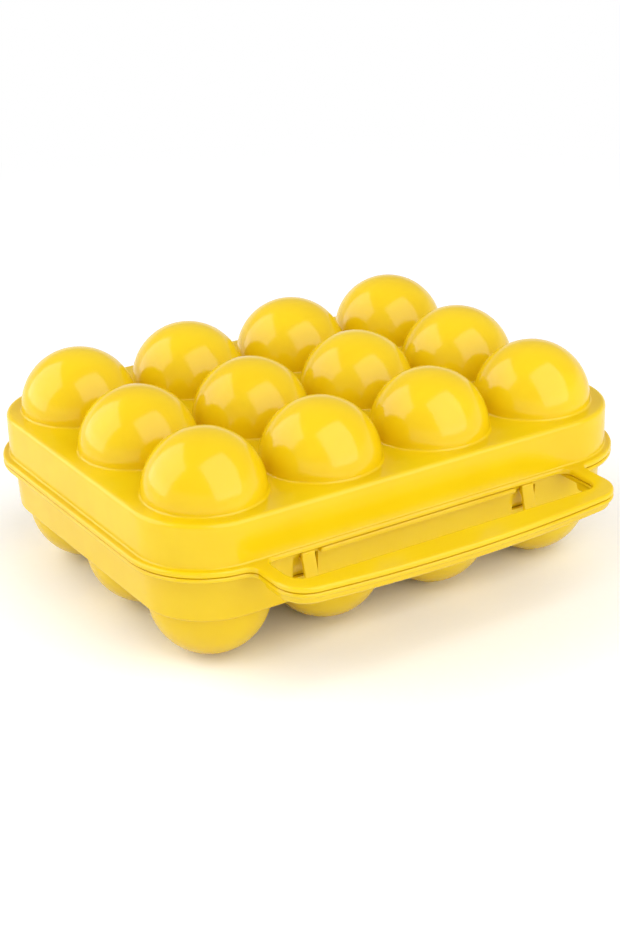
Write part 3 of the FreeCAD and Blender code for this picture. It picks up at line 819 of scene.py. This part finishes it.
def eye(node, up, arm_far, bore):
    """Eye as wide as its solid, with softened edges."""
    low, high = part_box(node)
    bm = bmesh.new()
    levels = [(low.x, EYE_SOFT), (low.x + EYE_SOFT, 0), (high.x - EYE_SOFT, 0), (high.x, EYE_SOFT)]
    outside = [eye_loop(bm, x, inset, up, arm_far) for x, inset in levels]
    inside = [bore_loop(bm, x, bore + inset) for x, inset in levels]
    plate(bm, outside, inside, normal=ALONG_X)
    return bm


for side in ("left", "right"):
    lug = eye(f"lid_hinge_lug_{side}", 1, LID_ARM, LUG_BORE)
    placed(lug, f"lug_{side}", "lid", LID_FINISH, f"lid_hinge_lug_{side}")
    for letter in "ab":
        ear = eye(f"tray_hinge_ear_{side}_{letter}", -1, TRAY_ARM, EAR_BORE)
        placed(ear, f"ear_{side}_{letter}", "tray", TRAY_FINISH, f"tray_hinge_ear_{side}_{letter}")


# Hinge pins: plain round rods of the same plastic, pushed through lug and ears and held by the ears.
# Their ends are chamfered, so that they start easily.
PIN = 1.5 * MM
PIN_CHAMFER = 0.3 * MM
for side in ("left", "right"):
    low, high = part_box(f"hinge_pin_{side}")
    rod = bmesh.new()
    pen = Pen(rod, Vector((low.x, HINGE_Y, PARTING)), ALONG_X)
    pen.line(Vector((low.x, HINGE_Y, PARTING + PIN - PIN_CHAMFER)))
    pen.line(Vector((low.x + PIN_CHAMFER, HINGE_Y, PARTING + PIN)))
    pen.line(Vector((high.x - PIN_CHAMFER, HINGE_Y, PARTING + PIN)))
    pen.line(Vector((high.x, HINGE_Y, PARTING + PIN - PIN_CHAMFER)))
    pen.line(Vector((high.x, HINGE_Y, PARTING)))
    turned(rod, pen.edges(), Vector((0, HINGE_Y, PARTING)), ALONG_X, 2 * QUARTER)
    placed(rod, f"pin_{side}", "tray", TRAY_FINISH, f"hinge_pin_{side}")


# Stage: a wide white table, matt, that carries the shadow near the carrier and runs out into plain
# white, a little whiter to the eye than in the light it throws back. The studio's soft light is a large
# panel at the left, one in front at the right, a low white wall all round and a dim ceiling.
MIDDLE = Vector((0, GRID_Y, 40 * MM))
TABLE = 12.0
TABLE_NEAR = 0.30
TABLE_FAR = 0.60
PAPER = 0.87
PAPER_GRAIN = 0.02
PAPER_SEEN = 0.10
BLACK = (0.0, 0.0, 0.0, 1.0)
WHITE = (1.0, 1.0, 1.0, 1.0)


def seen_directly(tree):
    """1 for what the camera sees, straight or in a reflection, and 0 for light on its way."""
    kinds = ("Is Camera Ray", "Is Glossy Ray", "Is Transmission Ray")
    camera, glossy, through = (Wire(tree).add("ShaderNodeLightPath", {}, {}, kind) for kind in kinds)
    return camera.maths("MAXIMUM", camera, glossy.maths("MAXIMUM", glossy, through))


paper = bpy.data.materials.new("white_table")
paper.use_nodes = True
tree = paper.node_tree
shader = tree.nodes["Principled BSDF"]
shader.inputs["Roughness"].default_value = 0.9
shader.inputs["Specular IOR Level"].default_value = 0.0
place = Wire(tree).add("ShaderNodeNewGeometry", {}, {}, "Position")
away = place.add("ShaderNodeVectorMath", {"operation": "DISTANCE"}, {0: place, 1: MIDDLE}, "Value")
seen = seen_directly(tree)
grain = PAPER + PAPER_GRAIN * place.noise(400, 3.0) + PAPER_SEEN * seen
tree.links.new(grain.mixed(BLACK, WHITE).socket, shader.inputs["Base Color"])
matt = Wire(tree, shader.outputs["BSDF"])
plain = seen.add("ShaderNodeEmission", {}, {"Color": WHITE, "Strength": 1.0})
fade = seen * away.ramp(TABLE_NEAR, TABLE_FAR)
surface = seen.add("ShaderNodeMixShader", {}, {"Fac": fade, 1: matt, 2: plain})
tree.links.new(surface.socket, tree.nodes["Material Output"].inputs["Surface"])
sheet = bmesh.new()
bmesh.ops.create_circle(sheet, cap_ends=True, segments=128, radius=TABLE)
table = as_object(sheet, "table", paper)

YAW, TILT, ROLL = (math.radians(angle) for angle in (-32.029, 23.933, -1.555))


def panel(name, right, above, distance, wide, high, glow):
    """Soft panel, so many degrees right of the camera and above the table, facing the carrier."""
    lamp = bpy.data.lights.new(name, "AREA")
    lamp.shape = "RECTANGLE"
    lamp.size = wide
    lamp.size_y = high
    lamp.energy = glow * math.pi * wide * high
    turn = YAW + math.radians(right)
    rise = math.radians(above)
    way = Vector((math.sin(turn) * math.cos(rise), -math.cos(turn) * math.cos(rise), math.sin(rise)))
    holder = bpy.data.objects.new(name, lamp)
    holder.location = MIDDLE + distance * way
    holder.rotation_euler = way.to_track_quat("Z", "Y").to_euler()
    bpy.context.scene.collection.objects.link(holder)


panel("left_panel", right=-94, above=29, distance=1.7, wide=2.1, high=2.1, glow=2.1)
panel("right_panel", right=46, above=38, distance=1.8, wide=2.0, high=2.7, glow=2.05)

CEILING = (0.48, 0.48, 0.48, 1.0)
HORIZON_LOW = 0.12
HORIZON_HIGH = 0.30
world = bpy.data.worlds.new("studio")
world.use_nodes = True
bpy.context.scene.world = world
tree = world.node_tree
way = Wire(tree).add("ShaderNodeTexCoord", {}, {}, "Generated")
rise = way.add("ShaderNodeSeparateXYZ", {}, {"Vector": way}, "Z")
room = rise.ramp(HORIZON_LOW, HORIZON_HIGH).mixed(WHITE, CEILING)
tree.links.new(room.socket, tree.nodes["Background"].inputs["Color"])


# Camera: in front of the carrier's left corner and a little above it, with a long lens. Its place,
# angles and lens are one fit to the outlines of domes, deck, rim and handle.
CAMERA_AT = Vector((-359.69, -577.314, 294.635)) * MM + Vector((0, GRID_Y, PARTING))
LENS = 76.472
back = Vector((math.sin(YAW) * math.cos(TILT), -math.cos(YAW) * math.cos(TILT), math.sin(TILT)))
level = Vector((math.cos(YAW), math.sin(YAW), 0))
upright = back.cross(level)
right = math.cos(ROLL) * level + math.sin(ROLL) * upright
top = -math.sin(ROLL) * level + math.cos(ROLL) * upright
lens = bpy.data.cameras.new("camera")
lens.lens = LENS
lens.sensor_width = 36.0
camera = bpy.data.objects.new("camera", lens)
camera.matrix_world = Matrix.Translation(CAMERA_AT) @ Matrix((right, top, back)).transposed().to_4x4()
bpy.context.scene.collection.objects.link(camera)
bpy.context.scene.camera = camera
bpy.context.scene.view_settings.view_transform = "Standard"
